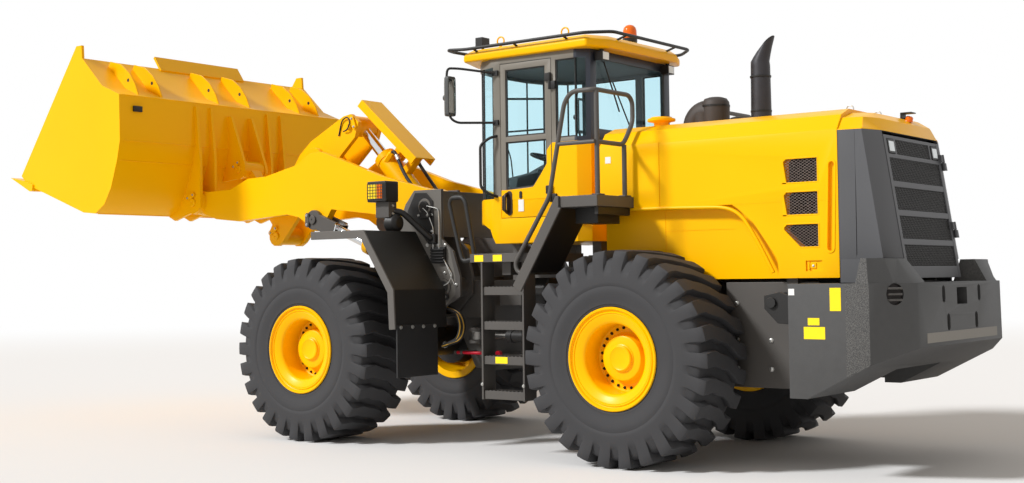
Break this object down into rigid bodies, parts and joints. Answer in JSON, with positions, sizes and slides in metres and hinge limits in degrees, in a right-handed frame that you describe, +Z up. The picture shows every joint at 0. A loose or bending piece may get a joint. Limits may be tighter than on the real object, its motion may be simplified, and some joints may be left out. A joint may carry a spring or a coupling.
{
  "type": "wheel loader",
  "caption": "Full-size articulated wheel loader: Z-bar linkage with a general-purpose bucket, cab, rear hood, counterweight and lugged tyres.",
  "frame": {"origin": "on the ground under the centre of the machine's bounding box, in the plane midway between the left and right wheels", "axes": "+X forwards towards the bucket, +Y to the machine's left, +Z up"},
  "size_m": [11.09, 3.6, 4.4276],
  "materials": {
    "yellow_paint": "gloss paint",
    "grey_paint": "satin paint",
    "black_paint": "satin paint",
    "counterweight_iron": "painted casting",
    "rubber": "matt",
    "chrome": "polished",
    "amber": "clear tinted",
    "cloth": "woven"
  },
  "bodies": {
    "rear_body": {"rear_frame": "grey_paint", "rear_axle": "yellow_paint", "counterweight": "counterweight_iron", "hood": "yellow_paint", "hood_tail": "grey_paint", "radiator": "black_paint", "engine": "black_paint", "platform_left": "grey_paint", "platform_right": "grey_paint", "deck_ladder_left": "grey_paint", "deck_ladder_right": "grey_paint", "cab_body": "yellow_paint", "cab_roof": "yellow_paint", "seat": "cloth", "steering_column": "black_paint", "beacon": "amber", "exhaust_stack": "black_paint", "air_precleaner": "black_paint", "filler_cap": "yellow_paint", "mirror_left": "black_paint", "mirror_right": "black_paint"},
    "front_body": {"front_frame": "grey_paint", "front_axle": "yellow_paint", "front_fender_left": "grey_paint", "front_fender_right": "grey_paint", "headlamp_left": "black_paint", "headlamp_right": "black_paint"},
    "boom": {"boom": "yellow_paint"},
    "bellcrank": {"bellcrank": "yellow_paint"},
    "bucket_link": {"bucket_link": "yellow_paint"},
    "bucket": {"bucket": "yellow_paint"},
    "lift_barrel_left": {"lift_cylinder_left_barrel": "yellow_paint"},
    "lift_rod_left": {"lift_cylinder_left_rod": "chrome"},
    "lift_barrel_right": {"lift_cylinder_right_barrel": "yellow_paint"},
    "lift_rod_right": {"lift_cylinder_right_rod": "chrome"},
    "tilt_barrel": {"tilt_cylinder_barrel": "yellow_paint", "tilt_cylinder_guard": "yellow_paint"},
    "tilt_rod": {"tilt_cylinder_rod": "chrome"},
    "steer_barrel_left": {"steer_cylinder_left_barrel": "yellow_paint"},
    "steer_rod_left": {"steer_cylinder_left_rod": "chrome"},
    "steer_barrel_right": {"steer_cylinder_right_barrel": "yellow_paint"},
    "steer_rod_right": {"steer_cylinder_right_rod": "chrome"},
    "cab_door": {"cab_door": "yellow_paint"},
    "grille_door": {"grille_door": "grey_paint"},
    "wheel_front_left": {"tyre_front_left": "rubber", "rim_front_left": "yellow_paint"},
    "wheel_front_right": {"tyre_front_right": "rubber", "rim_front_right": "yellow_paint"},
    "wheel_rear_left": {"tyre_rear_left": "rubber", "rim_rear_left": "yellow_paint"},
    "wheel_rear_right": {"tyre_rear_right": "rubber", "rim_rear_right": "yellow_paint"}
  },
  "joints": [
    {"name": "steer", "type": "hinge", "parent": "rear_body", "child": "front_body", "pos_m": [-1.155, 0, 1.11], "axis": [0, 0, 1], "range_deg": [-35, 35]},
    {"name": "boom_lift", "type": "hinge", "parent": "front_body", "child": "boom", "pos_m": [-0.233, 0, 2.386], "axis": [0, -1, 0], "range_deg": [-34.5, 32]},
    {"name": "bucket_tilt", "type": "hinge", "parent": "boom", "child": "bucket", "pos_m": [3.465, 0, 2.59], "axis": [0, 1, 0], "range_deg": [-34, 86]},
    {"name": "bellcrank_turn", "type": "hinge", "parent": "boom", "child": "bellcrank", "pos_m": [1.875, 0, 3.02], "axis": [0, 1, 0], "range_deg": [-26, 10.4]},
    {"name": "link_turn", "type": "hinge", "parent": "bellcrank", "child": "bucket_link", "pos_m": [2.555, 0, 2.17], "axis": [0, 1, 0], "range_deg": [-20.6, 52]},
    {"name": "lift_barrel_left_turn", "type": "hinge", "parent": "front_body", "child": "lift_barrel_left", "pos_m": [-0.479, 0.568, 1.557], "axis": [0, -1, 0], "range_deg": [-27, 25]},
    {"name": "lift_rod_left_slide", "type": "slide", "parent": "lift_barrel_left", "child": "lift_rod_left", "axis": [0.9325, 0, 0.3613], "range_m": [-0.41, 0.38]},
    {"name": "lift_barrel_right_turn", "type": "hinge", "parent": "front_body", "child": "lift_barrel_right", "pos_m": [-0.479, -0.568, 1.557], "axis": [0, -1, 0], "range_deg": [-27, 25]},
    {"name": "lift_rod_right_slide", "type": "slide", "parent": "lift_barrel_right", "child": "lift_rod_right", "axis": [0.9325, 0, 0.3613], "range_m": [-0.41, 0.38]},
    {"name": "tilt_barrel_turn", "type": "hinge", "parent": "front_body", "child": "tilt_barrel", "pos_m": [-0.095, 0, 1.9], "axis": [0, -1, 0], "range_deg": [-31, 28.8]},
    {"name": "tilt_rod_slide", "type": "slide", "parent": "tilt_barrel", "child": "tilt_rod", "axis": [0.6949, 0, 0.7191], "range_m": [-0.301, 0.12]},
    {"name": "steer_barrel_left_turn", "type": "hinge", "parent": "rear_body", "child": "steer_barrel_left", "pos_m": [-2.005, 0.6, 1.06], "axis": [0, 0, 1], "range_deg": [-10, 10]},
    {"name": "steer_rod_left_slide", "type": "slide", "parent": "steer_barrel_left", "child": "steer_rod_left", "axis": [0.9935, -0.1138, 0], "range_m": [-0.29, 0.29]},
    {"name": "steer_barrel_right_turn", "type": "hinge", "parent": "rear_body", "child": "steer_barrel_right", "pos_m": [-2.005, -0.6, 1.06], "axis": [0, 0, 1], "range_deg": [-10, 10]},
    {"name": "steer_rod_right_slide", "type": "slide", "parent": "steer_barrel_right", "child": "steer_rod_right", "axis": [0.9935, 0.1138, 0], "range_m": [-0.29, 0.29]},
    {"name": "cab_door_hinge", "type": "hinge", "parent": "rear_body", "child": "cab_door", "pos_m": [-1.9, 0.82, 2.23], "axis": [0, 0, 1], "range_deg": [0, 90]},
    {"name": "grille_door_hinge", "type": "hinge", "parent": "rear_body", "child": "grille_door", "pos_m": [-5.31, -0.623, 1.78], "axis": [0.1502, 0, 0.9886], "range_deg": [0, 90]},
    {"name": "wheel_front_left_spin", "type": "hinge", "parent": "front_body", "child": "wheel_front_left", "pos_m": [0.745, 1.22, 0.93688], "axis": [0, 1, 0], "continuous": true},
    {"name": "wheel_front_right_spin", "type": "hinge", "parent": "front_body", "child": "wheel_front_right", "pos_m": [0.745, -1.22, 0.93688], "axis": [0, 1, 0], "continuous": true},
    {"name": "wheel_rear_left_spin", "type": "hinge", "parent": "rear_body", "child": "wheel_rear_left", "pos_m": [-3.055, 1.22, 0.93688], "axis": [0, 1, 0], "continuous": true},
    {"name": "wheel_rear_right_spin", "type": "hinge", "parent": "rear_body", "child": "wheel_rear_right", "pos_m": [-3.055, -1.22, 0.93688], "axis": [0, 1, 0], "continuous": true}
  ],
  "couplings": [
    {"joint": "bellcrank_turn", "follows": "bucket_tilt", "ratio": -0.3},
    {"joint": "link_turn", "follows": "bucket_tilt", "ratio": 0.6},
    {"joint": "tilt_rod_slide", "follows": "bucket_tilt", "m_per_rad": -0.2},
    {"joint": "lift_barrel_left_turn", "follows": "boom_lift", "ratio": 0.755},
    {"joint": "lift_rod_left_slide", "follows": "boom_lift", "m_per_rad": 0.675},
    {"joint": "lift_barrel_right_turn", "follows": "boom_lift", "ratio": 0.755},
    {"joint": "lift_rod_right_slide", "follows": "boom_lift", "m_per_rad": 0.675},
    {"joint": "tilt_barrel_turn", "follows": "boom_lift", "ratio": 0.89},
    {"joint": "steer_barrel_left_turn", "follows": "steer", "ratio": 0.28},
    {"joint": "steer_rod_left_slide", "follows": "steer", "m_per_rad": -0.47},
    {"joint": "steer_barrel_right_turn", "follows": "steer", "ratio": 0.28},
    {"joint": "steer_rod_right_slide", "follows": "steer", "m_per_rad": 0.47}
  ]
}
